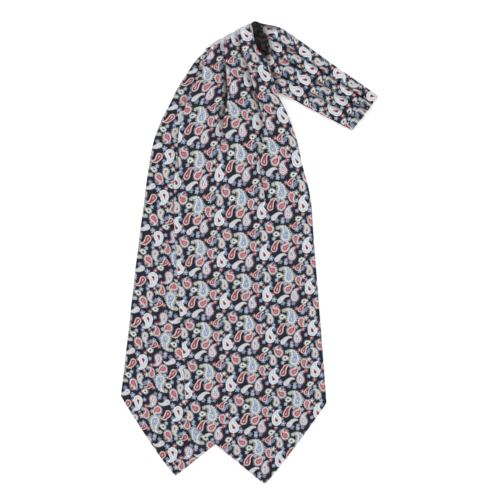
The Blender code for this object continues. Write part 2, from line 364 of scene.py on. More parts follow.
@dataclass(frozen=True)
class Pleating:
    """How knife pleats are laid: each strip lies over the one before it, with a soft rolled edge.

    A pleat shallower than open_depth no longer overlaps: its two bends open out until it is flat.
    The grooves before the folds get painted shade to the given shares, and less where the strips'
    crowns are lower than full_puff.
    """

    fold_radius: float = 0.0010
    open_depth: float = 0.0025
    least_turn: float = 0.001
    least_straight: float = 0.0003
    hold_margin: float = 0.0003
    drop_length: float = 0.0090
    edge_room: float = 0.0015
    groove_shade_width: float = 0.0075
    full_puff: float = 0.0020
    shares: tuple[float, float, float] = (0.7, 1.0, 0.55)
    strip_steps: int = 20
    bend_steps: int = 5

    def strip(
        self, start: float, end: float, height: float, held: float, limit: float, puff: float,
        cloth: float, groove_shade: float,
    ) -> list[SectionPoint]:
        """One strip from its own edge to where it turns under the next.

        Args:
            start: Distance of its edge.
            end: Distance where it turns, out of sight.
            height: Height of its edge.
            held: How far it keeps that height, over the pleat that it covers.
            limit: Distance by which it is down on the layer below.
            puff: Height of its crown between the two.
            cloth: Cloth coordinate at its start.
            groove_shade: How dark the painted shade is in the groove before the next fold, from 0
                to 1.

        Returns:
            Its points.
        """
        drop = min(self.drop_length, max(limit - start - held, self.hold_margin))
        points = []
        for step in range(self.strip_steps + 1):
            distance = start + (end - start) * step / self.strip_steps
            fallen = smoothstep((distance - start - held) / drop)
            share = min(max((distance - start) / max(limit - start, self.hold_margin), 0.0), 1.0)
            crown = puff * math.sin(math.pi * share)
            # Painted shade, deepening towards the next fold
            near_fold = smoothstep((distance - limit + self.groove_shade_width) / self.groove_shade_width)
            recess = groove_shade * math.sqrt(near_fold)
            points.append(
                SectionPoint(
                    distance, height * (1.0 - fallen) + crown, cloth + distance - start, recess
                )
            )
        return points

    def last_strip(self) -> int:
        """Index of the first point past the first bend of the last pleat."""
        return PLEATS * (self.strip_steps + 1) + (2 * PLEATS - 1) * self.bend_steps

    def section(
        self, width: float, tuck: float, folds: Sequence[float], depths: Sequence[float],
        hidden: Sequence[float], puff: float,
    ) -> list[SectionPoint]:
        """Line across a stretch with a knife pleat at each fold.

        Args:
            width: Distance from edge to edge as laid.
            tuck: How far the first strip starts inside the visible edge.
            folds: Distance of each fold.
            depths: How far each pleat is folded under.
            hidden: Cloth that each pleat takes out of sight.
            puff: Height of the strips' crowns.

        Returns:
            The same number of points each time.
        """
        points: list[SectionPoint] = []
        start, height, held, cloth = tuck, 0.0, 0.0, tuck
        for fold, depth, out_of_sight, groove_shade_share in zip(folds, depths, hidden, self.shares):
            amount = smoothstep(depth / self.open_depth)
            turn = max(math.pi * amount, self.least_turn)
            bend_length = math.pi * self.fold_radius
            radius = bend_length / turn
            straight = max(depth - self.open_depth, self.least_straight)
            reach = radius * math.sin(turn) + straight / 2 * math.cos(turn)
            middle = fold + straight / 2
            end = middle - reach
            limit = min(fold - self.fold_radius - self.hold_margin, end)
            groove_shade = groove_shade_share * amount * min(puff / self.full_puff, 1.0) ** 3
            points += self.strip(start, end, height, held, limit, puff, cloth, groove_shade)
            cloth_end = cloth + end - start
            cloth += fold - start + out_of_sight
            start = middle + reach
            cloth += start - fold
            angles = [turn * step / self.bend_steps for step in range(1, self.bend_steps + 1)]
            bend = [(radius * math.sin(a), radius * (1 - math.cos(a)), radius * a) for a in angles]
            height = 2 * bend[-1][1] + straight * math.sin(turn)
            # Painted shade on the two bends: full on the one turned under, fading over the one that
            # shows
            points += [
                SectionPoint(end + across, rise, cloth_end + run, amount)
                for across, rise, run in bend
            ]
            points += [
                SectionPoint(start - across, height - rise, cloth - run, amount * run / bend_length)
                for across, rise, run in reversed(bend)
            ]
            held = (straight + self.fold_radius + self.hold_margin) * amount
        points += self.strip(start, width, height, held, width - self.edge_room, puff, cloth, 0.0)
        return points


def plain_section(width: float, columns: int) -> list[SectionPoint]:
    """Line across a stretch that has no pleats."""
    return [
        SectionPoint(width * step / columns, 0.0, width * step / columns, 0.0)
        for step in range(columns + 1)
    ]


def width_of(row: NamedTuple) -> float:
    """Straight distance across a row."""
    return math.hypot(row[2] - row[0], row[3] - row[1])


def edge_runs(rows: Sequence[NamedTuple]) -> list[tuple[float, float]]:
    """Distance run along the first and the second edge at each row, from the last row back."""
    runs = [(0.0, 0.0)]
    for row, after in zip(rows[-2::-1], rows[:0:-1]):
        first, second = runs[-1]
        first += math.hypot(row[0] - after[0], row[1] - after[1])
        second += math.hypot(row[2] - after[2], row[3] - after[3])
        runs.append((first, second))
    return runs[::-1]


@dataclass(frozen=True)
class PrintPhase:
    """Where a stretch's own coordinates lie on the print, which way they run, and their slant.

    Past ease_from the cloth is eased in a little, because pleats there pull it askew.
    """

    across: float
    along: float
    turned: bool = False
    slant: float = 0.0
    ease: float = 0.0
    ease_from: float = 0.0

    def place(self, across: float, along: float) -> tuple[float, float]:
        """Place on the print of a place on the stretch."""
        sign = -1.0 if self.turned else 1.0
        run = along + self.slant * across - self.ease * max(along - self.ease_from, 0.0)
        return self.across + sign * across, self.along + sign * run


def laid_line(
    row: NamedTuple,
    section: Sequence[SectionPoint],
    run: tuple[float, float],
    height_at: Callable[[float, float], float],
    tip: BladePoint | None = None,
) -> list[ClothPoint]:
    """One line across a stretch, laid on what is under it.

    Args:
        row: The row, which starts with the line's two ends.
        section: Points across it.
        run: How far along the strip each end is.
        height_at: Height of the layer below at a place.
        tip: Point of the blade, if it has one.

    Returns:
        The line's points.
    """
    left = Vector((row[0], row[1], 0.0))
    right = Vector((row[2], row[3], 0.0))
    width = (right - left).length
    reach = Vector((tip.x, tip.y, 0.0)) - (left + right) / 2 if tip else Vector((0.0, 0.0, 0.0))
    line = []
    for distance, height, cloth, recess in section:
        share = distance / width
        place = left + (right - left) * share
        along = run[0] + (run[1] - run[0]) * cloth / max(section[-1].cloth, width)
        if tip:
            bow = tip.left_bow if share < 0.5 else tip.right_bow
            part = row.point * (1.0 - abs(2.0 * share - 1.0) ** bow)
            place += reach * part
            along -= reach.length * part
        place.z = height_at(place.x, place.y) + height
        line.append(ClothPoint(place, cloth, along, recess))
    return line


def laid_lines(
    rows: Sequence[NamedTuple],
    sections: Sequence[Sequence[SectionPoint]],
    height_at: Callable[[float, float], float],
    tip: BladePoint | None = None,
) -> list[list[ClothPoint]]:
    """All lines across a stretch, laid on what is under it.

    Args:
        rows: The stretch's rows.
        sections: Points across each row.
        height_at: Height of the layer below at a place.
        tip: Point of the blade, if it has one.

    Returns:
        The lines, in the rows' order.
    """
    return [
        laid_line(row, section, run, height_at, tip)
        for row, section, run in zip(rows, sections, edge_runs(rows))
    ]


@dataclass(frozen=True)
class Roll:
    """A stretch that turns over a ridge and down to the layer under it.

    Its pleats stand out by the share bulge on the ridge and are pressed to the share settle
    underneath, and it runs back inside by tuck. Its crown gets a painted sheen highlight of the
    given strength.
    """

    top: float
    bottom: float
    turn: float
    outwards: float
    steps: int = 14
    tuck: float = 0.0
    settle: float = 0.25
    bulge: float = 0.15
    lustre: float = 0.0

    def lines(
        self, row: NamedTuple, line: Sequence[ClothPoint], section: Sequence[SectionPoint]
    ) -> list[list[ClothPoint]]:
        """Lines of the roll past a row.

        Args:
            row: The row that it leaves.
            line: That row's points.
            section: That row's section.

        Returns:
            The roll's lines, in order.
        """
        left = Vector((row[0], row[1], (self.top + self.bottom) / 2))
        across = Vector((row[2] - row[0], row[3] - row[1], 0.0))
        out = Vector((-across.y, across.x, 0.0)).normalized() * self.outwards
        across.normalize()
        radius = (self.top - self.bottom) / 2
        lines = []
        for step in range(1, self.steps + 1):
            angle = math.radians(self.turn * step / self.steps)
            under = smoothstep((angle - math.pi / 2) / (math.pi / 2))
            pressed = 1.0 - (1.0 - self.settle) * under
            # Painted sheen highlight, strongest halfway round the crown
            lustre = self.lustre * max(math.sin(2 * angle), 0.0)
            points = []
            for base, point in zip(line, section):
                place = left + across * point.distance
                place += out * (math.sin(angle) * (radius + point.height * self.bulge))
                place.z += math.cos(angle) * (radius + point.height * pressed)
                place.z = max(place.z, FLOOR_LEVEL)
                along = base.along + radius * angle
                points.append(ClothPoint(place, base.across, along, point.recess, lustre))
            lines.append(points)
        if self.tuck:
            lines.append([p._replace(place=p.place - out * self.tuck) for p in lines[-1]])
        return lines


@dataclass(frozen=True)
class ClothSheet:
    """One sheet of doubled silk, made from lines of points and given its wall and rounded edges."""

    name: str
    node: str
    flat: tuple[float, float]
    area: float
    held: str
    rests_on: tuple[str, ...]
    phase: PrintPhase
    wall: float = 0.0007
    edge_round: float = 0.0002
    edge_steps: int = 2
    edge_angle: float = 60.0

    def build(
        self, lines: Sequence[Sequence[ClothPoint]], silk: bpy.types.Material
    ) -> bpy.types.Object:
        """Make the sheet.

        Args:
            lines: Its lines, each with the same number of points.
            silk: Its material.

        Returns:
            The finished piece, riding on the frame.
        """
        columns = len(lines[0])
        shape = bmesh.new()
        half = 0.5
        bmesh.ops.create_grid(
            shape, x_segments=columns - 1, y_segments=len(lines) - 1, size=half
        )
        cloth_map = shape.loops.layers.uv.new(CLOTH_MAP)
        # Painted shade and painted sheen highlight, kept on each vertex for the material
        recess = shape.verts.layers.float.new(PAINTED_SHADE)
        lustre = shape.verts.layers.float.new(PAINTED_SHEEN)
        found = {}
        for vertex in shape.verts:
            column = round((vertex.co.x + half) * (columns - 1))
            line = round((vertex.co.y + half) * (len(lines) - 1))
            found[vertex] = lines[line][column]
        for vertex, point in found.items():
            vertex.co = point.place - MIDDLE
            vertex[recess] = point.recess
            vertex[lustre] = point.lustre
        for face in shape.faces:
            face.smooth = True
            for loop in face.loops:
                point = found[loop.vert]
                loop[cloth_map].uv = self.phase.place(point.across, point.along)
        mesh = bpy.data.meshes.new(self.name)
        shape.to_mesh(mesh)
        shape.free()
        piece = bpy.data.objects.new(self.name, mesh)
        bpy.context.scene.collection.objects.link(piece)
        wall = piece.modifiers.new("Wall", "SOLIDIFY")
        wall.thickness = self.wall
        wall.offset = 0.0
        wall.use_quality_normals = True
        edge = piece.modifiers.new("Pressed edge", "BEVEL")
        edge.width = self.edge_round
        edge.segments = self.edge_steps
        edge.limit_method = "ANGLE"
        edge.angle_limit = math.radians(self.edge_angle)
        edge.harden_normals = True
        mesh.materials.append(silk)
        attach(piece, "root")
        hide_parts(self.node)
        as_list(self.rests_on)
        LOG.info("%s: %d lines of %d points", self.name, len(lines), columns)
        return piece


@dataclass(frozen=True)
class FrontBlade:
    """The blade on top: its point, its knife pleats that open downwards, and the ridge's roll.

    Its right edge at the neck gets a painted highlight: the last lit_points of its first lit_lines
    and of all the roll's lines.
    """

    sheet: ClothSheet
    pleating: Pleating
    swell: Swell = Swell(depth=0.00025, size=0.055, seed=1.7)
    lit_lines: int = 4
    lit_points: int = 2
    lit_lustre: float = 0.6
    ridge_lustre: float = 0.75

    def height(self, x: float, y: float) -> float:
        """Height of the cloth, with its gentle swell."""
        return front_height(x, y) + self.swell.at(x, y)

    def section(self, row: BladeRow) -> list[SectionPoint]:
        """Line across the blade at a row."""
        return self.pleating.section(
            width_of(row),
            max(row.tuck, 0.0),
            (row.fold_1, row.fold_2, row.fold_3),
            [max(depth, 0.0) for depth in (row.depth_1, row.depth_2, row.depth_3)],
            [max(amount, 0.0) for amount in (row.hidden_1, row.hidden_2, row.hidden_3)],
            max(row.puff, 0.0),
        )

    def build(self, silk: bpy.types.Material) -> bpy.types.Object:
        """Make the blade."""
        rows = fill_in(FRONT_ROWS)
        sections = [self.section(row) for row in rows]
        lines = laid_lines(rows, sections, self.height, FRONT_POINT)
        ridge = Roll(
            FRONT_NECK_LEVEL, FLOOR_LEVEL, turn=170, outwards=1, lustre=self.ridge_lustre
        )
        rolled = ridge.lines(rows[0], lines[0], sections[0])
        # Painted highlight along the right edge at the neck
        for line in lines[: self.lit_lines] + rolled:
            edge = line[-self.lit_points :]
            line[-self.lit_points :] = [p._replace(lustre=self.lit_lustre) for p in edge]
        return self.sheet.build(lines[::-1] + rolled, silk)


@dataclass(frozen=True)
class BackBlade:
    """The blade underneath: flat on the table, up over the neckband and rolled back in the neck."""

    sheet: ClothSheet
    columns: int = 70
    swell: Swell = Swell(depth=0.0002, size=0.060, seed=8.3)

    def height(self, x: float, y: float) -> float:
        """Height of the cloth, with its gentle swell."""
        return back_height(x, y) + self.swell.at(x, y)

    def build(self, silk: bpy.types.Material) -> bpy.types.Object:
        """Make the blade."""
        rows = fill_in(BACK_ROWS)
        sections = [plain_section(width_of(row), self.columns) for row in rows]
        lines = laid_lines(rows, sections, self.height, BACK_POINT)
        roll = Roll(BACK_NECK_LEVEL, UPPER_BAND_LEVEL, turn=180, outwards=1, tuck=0.004)
        rolled = roll.lines(rows[0], lines[0], sections[0])
        return self.sheet.build(lines[::-1] + rolled, silk)


class ShadeLine(NamedTuple):
    """A line on the neckband along which it lies in the shade of what passes over it.

    The shade is as deep as depth up to near, and is gone over a run of fade beyond.
    """

    start: tuple[float, float]
    end: tuple[float, float]
    near: float
    fade: float
    depth: float

    def at(self, place: Vector) -> float:
        """How deep in shade a place is."""
        start, end = Vector(self.start), Vector(self.end)
        share = (place - start).dot(end - start) / (end - start).length_squared
        away = (place - start - (end - start) * min(max(share, 0.0), 1.0)).length
        return self.depth * (1.0 - smoothstep((away - self.near) / self.fade))


@dataclass(frozen=True)
class Neckband:
    """The pleated neckband, folded in two at the centre back: its upper and its lower layer.

    Up to press_end the blades on it press its pleats to the share pressed of their height, and over
    press_run they rise again. Its last strip shows the reverse, with the print turned half round
    about a place at half of turned_across and turned_along.
    """

    upper: ClothSheet
    lower: ClothSheet
    pleating: Pleating
    lower_columns: int = 30
    # Painted shade on the band next to the front blade's neck and along its right edge
    shades: tuple[ShadeLine, ...] = (
        ShadeLine((-0.0010, 0.2435), (0.0090, 0.2140), 0.0088, 0.0125, 1.15),
        ShadeLine((0.0060, 0.2452), (0.0240, 0.2405), 0.0020, 0.0075, 0.85),
        ShadeLine((0.0095, 0.2140), (0.0268, 0.1800), 0.0015, 0.0075, 0.80),
    )
    turned_across: float = 0.1540
    turned_along: float = 0.1590
    pressed: float = 0.70
    press_end: float = 0.018
    press_run: float = 0.022

    def shaded(self, point: ClothPoint) -> ClothPoint:
        """The point, with painted shade where the band comes out from under the front blade."""
        depth = max(line.at(point.place.xy) for line in self.shades)
        return point._replace(recess=max(point.recess, depth))

    def other_side(self, point: ClothPoint) -> ClothPoint:
        """The point with the print the other way round, as on the strip's reverse."""
        return point._replace(
            across=self.turned_across - point.across, along=self.turned_along - point.along
        )

    def slant_share(self, row: BandRow, after: BandRow) -> float:
        """Share of a row's length that lies straight across the band."""
        low = Vector((row.low_x, row.low_y))
        high = Vector((row.high_x, row.high_y))
        next_middle = Vector((after.low_x + after.high_x, after.low_y + after.high_y)) / 2
        across = (high - low).normalized()
        along = (next_middle - (low + high) / 2).normalized()
        return abs(across.cross(along))

    def section(self, row: BandRow, straight: float) -> list[SectionPoint]:
        """Line across the upper layer at a row, pressed flatter where the blades lie on it.

        Args:
            row: The row.
            straight: Share of its length that lies straight across the band.

        Returns:
            Its points, with the rest of the strip's width in the pleats.
        """
        hidden = (STRIP_WIDTH - width_of(row) * straight) / PLEATS
        points = self.pleating.section(
            width_of(row), 0.0, (row.fold_1, row.fold_2, row.fold_3), [row.depth] * PLEATS,
            [hidden] * PLEATS, max(row.puff, 0.0),
        )
        free = smoothstep(((row.low_x + row.high_x) / 2 - self.press_end) / self.press_run)
        scale = self.pressed + (1.0 - self.pressed) * free
        return [point._replace(height=point.height * scale) for point in points]

    def build_upper(self, silk: bpy.types.Material) -> bpy.types.Object:
        """Make the upper layer, which rolls down at the centre back."""
        rows = fill_in(BAND_ROWS)
        pairs = list(zip(rows, rows[1:])) + [(rows[-2], rows[-1])]
        sections = [self.section(row, self.slant_share(*pair)) for row, pair in zip(rows, pairs)]
        lines = laid_lines(rows, sections, lambda x, y: UPPER_BAND_LEVEL)
        end = Roll(UPPER_BAND_LEVEL, FLOOR_LEVEL, turn=160, outwards=-1, steps=8)
        rolled = end.lines(rows[-1], lines[-1], sections[-1])
        lines = [[self.shaded(point) for point in line] for line in lines] + rolled
        first = self.pleating.last_strip()
        lines = [
            line[:first] + [self.other_side(point) for point in line[first:]] for line in lines
        ]
        return self.upper.build(lines[::-1], silk)

    def build_lower(self, silk: bpy.types.Material) -> bpy.types.Object:
        """Make the lower layer, flat on the table, from just inside the front blade's roll."""
        rows = fill_in(BAND_ROWS[1:])
        sections = [plain_section(width_of(row), self.lower_columns) for row in rows]
        lines = laid_lines(rows, sections, lambda x, y: FLOOR_LEVEL + CAD_PITCH / 2)
        return self.lower.build(lines[::-1], silk)


class Dye(Enum):
    """Colours of the print, as linear red, green and blue."""

    GROUND = (0.0140, 0.0165, 0.0280)
    WHITE = (0.75, 0.80, 0.82)
    MINT = (0.43, 0.53, 0.56)
    CREAM = (0.66, 0.60, 0.58)
    PEACH = (0.62, 0.37, 0.32)
    BEIGE = (0.48, 0.45, 0.42)
    RED = (0.47, 0.068, 0.056)
    CRIMSON = (0.27, 0.035, 0.065)
    ROSE = (0.34, 0.13, 0.18)
    BLUE = (0.125, 0.170, 0.360)
    SKY = (0.30, 0.38, 0.54)
    LILAC = (0.41, 0.43, 0.61)
    SLATE = (0.20, 0.25, 0.36)
    NAVY = (0.020, 0.024, 0.075)
    OLIVE = (0.42, 0.45, 0.38)


class Colouring(Enum):
    """What a motif is coloured with, from its outline inwards, and its petals' dye if it has any.

    Each step says how far in from the outline it starts, as a share of the motif's width.
    """

    WHITE_BOTEH = (
        ((0.0, Dye.WHITE), (0.20, Dye.MINT), (0.36, Dye.WHITE), (0.46, Dye.LILAC),
         (0.52, Dye.WHITE), (0.70, Dye.RED), (0.86, Dye.NAVY)), None,
    )
    BLUE_BOTEH = (
        ((0.0, Dye.CREAM), (0.16, Dye.MINT), (0.25, Dye.WHITE), (0.36, Dye.SKY), (0.44, Dye.BLUE),
         (0.56, Dye.WHITE), (0.63, Dye.SKY), (0.72, Dye.BLUE), (0.86, Dye.WHITE)), Dye.OLIVE,
    )
    RED_BOTEH = (
        ((0.0, Dye.CREAM), (0.22, Dye.PEACH), (0.40, Dye.RED), (0.60, Dye.CRIMSON),
         (0.68, Dye.LILAC), (0.80, Dye.RED)), Dye.SLATE,
    )
    WINE_BOTEH = (
        ((0.0, Dye.CREAM), (0.20, Dye.PEACH), (0.34, Dye.CRIMSON), (0.66, Dye.ROSE),
         (0.84, Dye.CREAM)), None,
    )
    LILAC_BOTEH = (
        ((0.0, Dye.CREAM), (0.14, Dye.MINT), (0.30, Dye.LILAC), (0.44, Dye.WHITE),
         (0.62, Dye.CRIMSON), (0.80, Dye.WHITE)), Dye.ROSE,
    )
    BEIGE_BOTEH = (
        ((0.0, Dye.OLIVE), (0.16, Dye.CREAM), (0.46, Dye.BEIGE), (0.58, Dye.CREAM),
         (0.76, Dye.CRIMSON)), Dye.SLATE,
    )
    LEAF = (
        ((0.0, Dye.CREAM), (0.22, Dye.BEIGE), (0.38, Dye.WHITE), (0.54, Dye.LILAC),
         (0.68, Dye.WHITE), (0.84, Dye.SLATE)), None,
    )
    EYE = (((0.0, Dye.BEIGE), (0.24, Dye.WHITE), (0.60, Dye.NAVY)), Dye.OLIVE)
    BLUE_ROSE = (
        ((0.0, Dye.LILAC), (0.22, Dye.SLATE), (0.34, Dye.SKY), (0.54, Dye.BLUE),
         (0.72, Dye.WHITE)), None,
    )
    RED_BUD = (((0.0, Dye.ROSE), (0.24, Dye.PEACH), (0.36, Dye.CRIMSON), (0.68, Dye.WHITE)), None)
    MINT_BUD = (((0.0, Dye.SLATE), (0.26, Dye.MINT), (0.52, Dye.SLATE), (0.66, Dye.CREAM)), None)
    SLATE_BUD = (((0.0, Dye.SLATE), (0.34, Dye.LILAC), (0.48, Dye.NAVY), (0.70, Dye.LILAC)), None)
    OLIVE_BUD = (((0.0, Dye.OLIVE), (0.36, Dye.BEIGE), (0.66, Dye.WHITE)), None)


@dataclass(frozen=True)
class Boteh:
    """A curled teardrop of the print, in millimetres of its repeat; its tail points to turn."""

    across: float
    along: float
    turn: float
    body: float
    tail: float
    curl: float
    colouring: Colouring
    scallop: float = 0.0


@dataclass(frozen=True)
class Blossom:
    """A small petalled flower of the print, in millimetres of its repeat."""

    across: float
    along: float
    radius: float
    petals: int
    colouring: Colouring


# The print's own unit, in a metre of cloth, and the size and skew of its repeat
MILLIMETRES = 1000.0
REPEAT_ACROSS = 45.6
REPEAT_ALONG = 43.9
REPEAT_SKEW = 0.045

# The repeat, listed one by one: motifs further down the list lie over those before them
REPEAT: tuple[Boteh | Blossom, ...] = (
    Blossom(14.4, 6.0, 2.7, 5, Colouring.BLUE_ROSE),
    Blossom(13.4, 11.4, 2.2, 5, Colouring.RED_BUD),
    Blossom(6.2, 2.8, 2.2, 5, Colouring.RED_BUD),
    Blossom(1.4, 17.4, 2.3, 6, Colouring.MINT_BUD),
    Blossom(0.4, 7.4, 2.0, 5, Colouring.BLUE_ROSE),
    Blossom(1.6, 25.0, 2.6, 5, Colouring.OLIVE_BUD),
    Blossom(44.0, 31.6, 2.4, 5, Colouring.BLUE_ROSE),
    Blossom(36.0, 17.4, 2.3, 5, Colouring.MINT_BUD),
    Blossom(26.6, 16.0, 2.2, 5, Colouring.RED_BUD),
    Blossom(27.4, 20.6, 2.2, 6, Colouring.BLUE_ROSE),
    Blossom(18.8, 26.0, 2.3, 5, Colouring.MINT_BUD),
    Blossom(37.8, 36.4, 2.2, 5, Colouring.RED_BUD),
    Blossom(29.8, 42.4, 2.5, 5, Colouring.MINT_BUD),
    Blossom(17.2, 41.6, 2.3, 5, Colouring.RED_BUD),
    Blossom(6.0, 39.0, 2.4, 6, Colouring.MINT_BUD),
    Blossom(12.0, 23.4, 2.0, 5, Colouring.BLUE_ROSE),
    Blossom(43.4, 13.8, 2.2, 5, Colouring.RED_BUD),
    Blossom(24.0, 36.6, 2.2, 5, Colouring.OLIVE_BUD),
    Blossom(1.8, 33.6, 2.3, 5, Colouring.SLATE_BUD),
    Blossom(23.8, 0.6, 2.4, 5, Colouring.SLATE_BUD),
    Blossom(12.4, 19.0, 2.2, 5, Colouring.SLATE_BUD),
    Blossom(4.6, 21.4, 2.0, 5, Colouring.RED_BUD),
    Blossom(37.4, 27.6, 2.4, 5, Colouring.SLATE_BUD),
    Blossom(30.0, 1.4, 2.0, 5, Colouring.BLUE_ROSE),
    Blossom(11.4, 42.0, 2.4, 6, Colouring.SLATE_BUD),
    Blossom(33.4, 22.8, 2.1, 5, Colouring.SLATE_BUD),
    Blossom(20.6, 21.6, 2.0, 5, Colouring.OLIVE_BUD),
    Blossom(35.0, 42.4, 2.1, 5, Colouring.SLATE_BUD),
    Boteh(20.6, 3.8, 46, 2.9, 9.4, 0.34, Colouring.LEAF, 0.05),
    Boteh(36.6, 4.4, -14, 4.0, 8.4, 0.44, Colouring.LILAC_BOTEH, 0.10),
    Boteh(29.8, 14.2, 70, 4.0, 6.0, -0.50, Colouring.RED_BOTEH, 0.06),
    Boteh(18.2, 15.4, 20, 3.5, 9.2, 0.32, Colouring.WINE_BOTEH),
    Boteh(41.8, 23.2, -166, 3.4, 6.6, -0.50, Colouring.RED_BOTEH, 0.06),
    Boteh(8.8, 28.6, 10, 3.4, 8.0, -0.50, Colouring.BEIGE_BOTEH, 0.10),
    Boteh(21.4, 30.4, 100, 2.6, 3.2, 0.0, Colouring.EYE),
    Boteh(0.6, 42.6, 80, 2.5, 3.2, 0.0, Colouring.EYE),
    Boteh(15.6, 36.8, -62, 4.0, 6.0, 0.50, Colouring.RED_BOTEH, 0.06),
    Boteh(42.0, 34.8, 24, 2.9, 5.8, 0.40, Colouring.WINE_BOTEH, 0.06),
    Boteh(31.6, 26.4, 12, 5.0, 10.8, -0.42, Colouring.BLUE_BOTEH, 0.12),
    Boteh(7.6, 10.2, -22, 5.3, 9.8, 0.44, Colouring.WHITE_BOTEH),
)


# What a node's socket is fed: another socket, a number or a colour
Fed = float | Sequence[float] | bpy.types.NodeSocket

# Where the mixing node keeps its share, its two colours and their mix
MIX_SHARE, MIX_FIRST, MIX_SECOND, MIX_RESULT = 0, 6, 7, 2


class Sketch:
    """Adds nodes to a tree and joins them, so that a formula reads in its own order."""

    def __init__(self, tree: bpy.types.NodeTree) -> None:
        """Keep the tree."""
        self.tree = tree

    def add(self, kind: str, **settings: object) -> bpy.types.Node:
        """Add a node of a kind and set its properties."""
        node = self.tree.nodes.new(kind)
        for name, value in settings.items():
            setattr(node, name, value)
        return node

    def feed(self, socket: bpy.types.NodeSocket, value: Fed) -> None:
        """Join a socket to another one, or set it to a plain value."""
        if isinstance(value, bpy.types.NodeSocket):
            self.tree.links.new(value, socket)
        else:
            socket.default_value = value

    def math(self, operation: str, *values: Fed, clamp: bool = False) -> bpy.types.NodeSocket:
        """Add a sum on plain numbers.

        Args:
            operation: Name of the sum.
            values: Its numbers, plain or joined.
            clamp: Whether the result is kept from 0 to 1.

        Returns:
            The result.
        """
        node = self.add("ShaderNodeMath", operation=operation, use_clamp=clamp)
        for socket, value in zip(node.inputs, values):
            self.feed(socket, value)
        return node.outputs[0]

    def vector(self, operation: str, *values: Fed) -> bpy.types.NodeSocket:
        """Add a sum on vectors and give its result."""
        node = self.add("ShaderNodeVectorMath", operation=operation)
        for socket, value in zip(node.inputs, values):
            self.feed(socket, value)
        return node.outputs["Value" if operation == "LENGTH" else "Vector"]

    def parts(
        self, vector: bpy.types.NodeSocket
    ) -> tuple[bpy.types.NodeSocket, bpy.types.NodeSocket]:
        """Split a vector in its first two numbers."""
        node = self.add("ShaderNodeSeparateXYZ")
        self.feed(node.inputs[0], vector)
        return node.outputs[0], node.outputs[1]

    def joined(self, x: Fed, y: Fed) -> bpy.types.NodeSocket:
        """Make a vector of two numbers."""
        node = self.add("ShaderNodeCombineXYZ")
        self.feed(node.inputs[0], x)
        self.feed(node.inputs[1], y)
        return node.outputs[0]

    def grey(self, value: bpy.types.NodeSocket) -> bpy.types.NodeSocket:
        """Make a grey of one number."""
        node = self.add("ShaderNodeCombineColor")
        for socket in node.inputs:
            self.feed(socket, value)
        return node.outputs[0]

    def mix(
        self, share: Fed, first: Fed, second: Fed, blend: str = "MIX"
    ) -> bpy.types.NodeSocket:
        """Mix two colours.

        Args:
            share: Share of the second.
            first: The first colour.
            second: The second colour.
            blend: How the second is laid on the first.

        Returns:
            The mixed colour.
        """
        node = self.add("ShaderNodeMix", data_type="RGBA", blend_type=blend)
        self.feed(node.inputs[MIX_SHARE], share)
        self.feed(node.inputs[MIX_FIRST], first)
        self.feed(node.inputs[MIX_SECOND], second)
        return node.outputs[MIX_RESULT]

    def ramp(
        self, value: bpy.types.NodeSocket, stops: Sequence[tuple[float, Sequence[float]]]
    ) -> bpy.types.Node:
        """Add a colour ramp with hard steps.

        Args:
            value: What it reads.
            stops: Position and colour, with its alpha, of each step.

        Returns:
            The node.
        """
        node = self.add("ShaderNodeValToRGB")
        elements = node.color_ramp.elements
        node.color_ramp.interpolation = "CONSTANT"
        while len(elements) < len(stops):
            elements.new(0.5)
        for element, (position, colour) in zip(elements, stops):
            element.position = position
            element.color = colour
        self.feed(node.inputs[0], value)
        return node


class GroupDraft(NamedTuple):
    """A shader node group in the making: its tree, a sketch of it, its inputs and its outputs."""

    tree: bpy.types.NodeTree
    sketch: Sketch
    given: bpy.types.bpy_prop_collection
    result: bpy.types.bpy_prop_collection


def new_group(name: str, inputs: dict[str, str], outputs: dict[str, str]) -> GroupDraft:
    """Start a shader node group.

    Args:
        name: The group's name.
        inputs: Kind of each input by name.
        outputs: Kind of each output by name.

    Returns:
        The group's draft.
    """
    tree = bpy.data.node_groups.new(name, "ShaderNodeTree")
    for side, sockets in (("INPUT", inputs), ("OUTPUT", outputs)):
        for label, kind in sockets.items():
            tree.interface.new_socket(name=label, in_out=side, socket_type=f"NodeSocket{kind}")
    sketch = Sketch(tree)
    given = sketch.add("NodeGroupInput").outputs
    return GroupDraft(tree, sketch, given, sketch.add("NodeGroupOutput").inputs)


